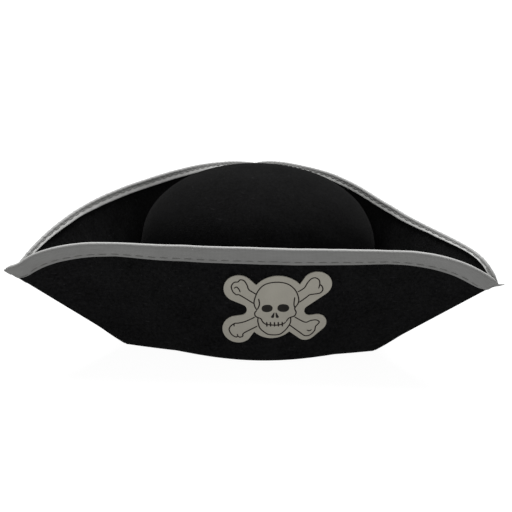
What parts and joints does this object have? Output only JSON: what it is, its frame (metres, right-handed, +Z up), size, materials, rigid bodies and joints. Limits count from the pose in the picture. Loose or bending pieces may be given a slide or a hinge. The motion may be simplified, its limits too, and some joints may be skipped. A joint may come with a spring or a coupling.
{
  "type": "pirate hat",
  "caption": "Felt tricorn costume hat: domed crown, three turned-up brim panels with folded ribbon binding, and a skull-and-crossbones patch on the front.",
  "frame": {"origin": "centre of the head opening, in the plane of the hat's base", "axes": "+Z up along the crown's axis, -Y towards the front panel that carries the patch, +X to the right seen from the front"},
  "size_m": [0.3562, 0.3258, 0.1275],
  "materials": {
    "felt": "matte needled felt, near black",
    "sweatband": "matte twill tape, black",
    "black_thread": "matte spun thread, black",
    "ribbon": "satin-faced grey ribbon",
    "grey_thread": "spun thread, grey",
    "patch": "matte printed film on felt, grey beige",
    "adhesive": "dried hot-melt film"
  },
  "bodies": {
    "root": {"crown": "felt", "sweatband": "sweatband", "sweatband_stitches": "black_thread", "crown_seam_stitches": "black_thread", "front_brim": "felt", "right_brim": "felt", "left_brim": "felt", "front_binding": "ribbon", "right_binding": "ribbon", "left_binding": "ribbon", "front_binding_stitches": "grey_thread", "right_binding_stitches": "grey_thread", "left_binding_stitches": "grey_thread", "left_point_stitches": "black_thread", "right_point_stitches": "black_thread", "rear_point_stitches": "black_thread", "skull_patch": "patch", "patch_adhesive": "adhesive"}
  },
  "joints": []
}
